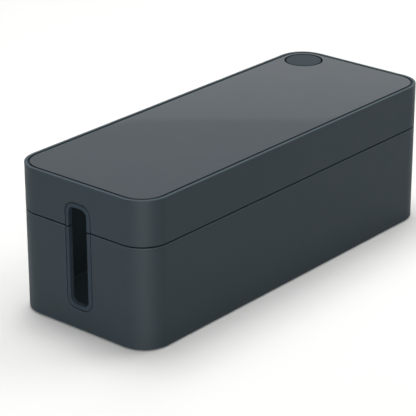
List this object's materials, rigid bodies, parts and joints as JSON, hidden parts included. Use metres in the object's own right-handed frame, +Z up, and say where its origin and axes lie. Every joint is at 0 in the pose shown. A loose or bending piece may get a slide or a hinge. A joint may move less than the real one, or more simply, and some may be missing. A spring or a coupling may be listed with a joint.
{
  "type": "cable management box",
  "caption": "Long box with rounded corners that hides a power strip, with a lift-off lid, cable slots in both ends and a capped outlet in the top.",
  "frame": {"origin": "on the floor under the middle of the box", "axes": "+X along the length, towards the end with the capped outlet; +Y to the rear; +Z up"},
  "size_m": [0.4074, 0.156, 0.139],
  "materials": {
    "shell_abs": "fine-textured dark grey moulding",
    "panel_soft": "satin soft-touch surface",
    "trim_rubber": "matt soft edge trim",
    "foot_rubber": "matt black",
    "adhesive_film": "thin double-sided film"
  },
  "bodies": {
    "base": {"base_shell": "shell_abs", "base_slot_trim_left": "trim_rubber", "base_slot_trim_right": "trim_rubber", "front_left_foot": "foot_rubber", "front_right_foot": "foot_rubber", "rear_left_foot": "foot_rubber", "rear_right_foot": "foot_rubber"},
    "lid": {"lid_frame": "shell_abs", "top_panel": "panel_soft", "panel_adhesive": "adhesive_film", "lid_slot_trim_left": "trim_rubber", "lid_slot_trim_right": "trim_rubber"},
    "cap": {"outlet_cap": "shell_abs"}
  },
  "joints": [
    {"name": "lid_lift", "type": "slide", "parent": "base", "child": "lid", "axis": [0, 0, 1], "range_m": [0, 0.15]},
    {"name": "cap_lift", "type": "slide", "parent": "lid", "child": "cap", "axis": [0, 0, 1], "range_m": [0, 0.04]}
  ]
}
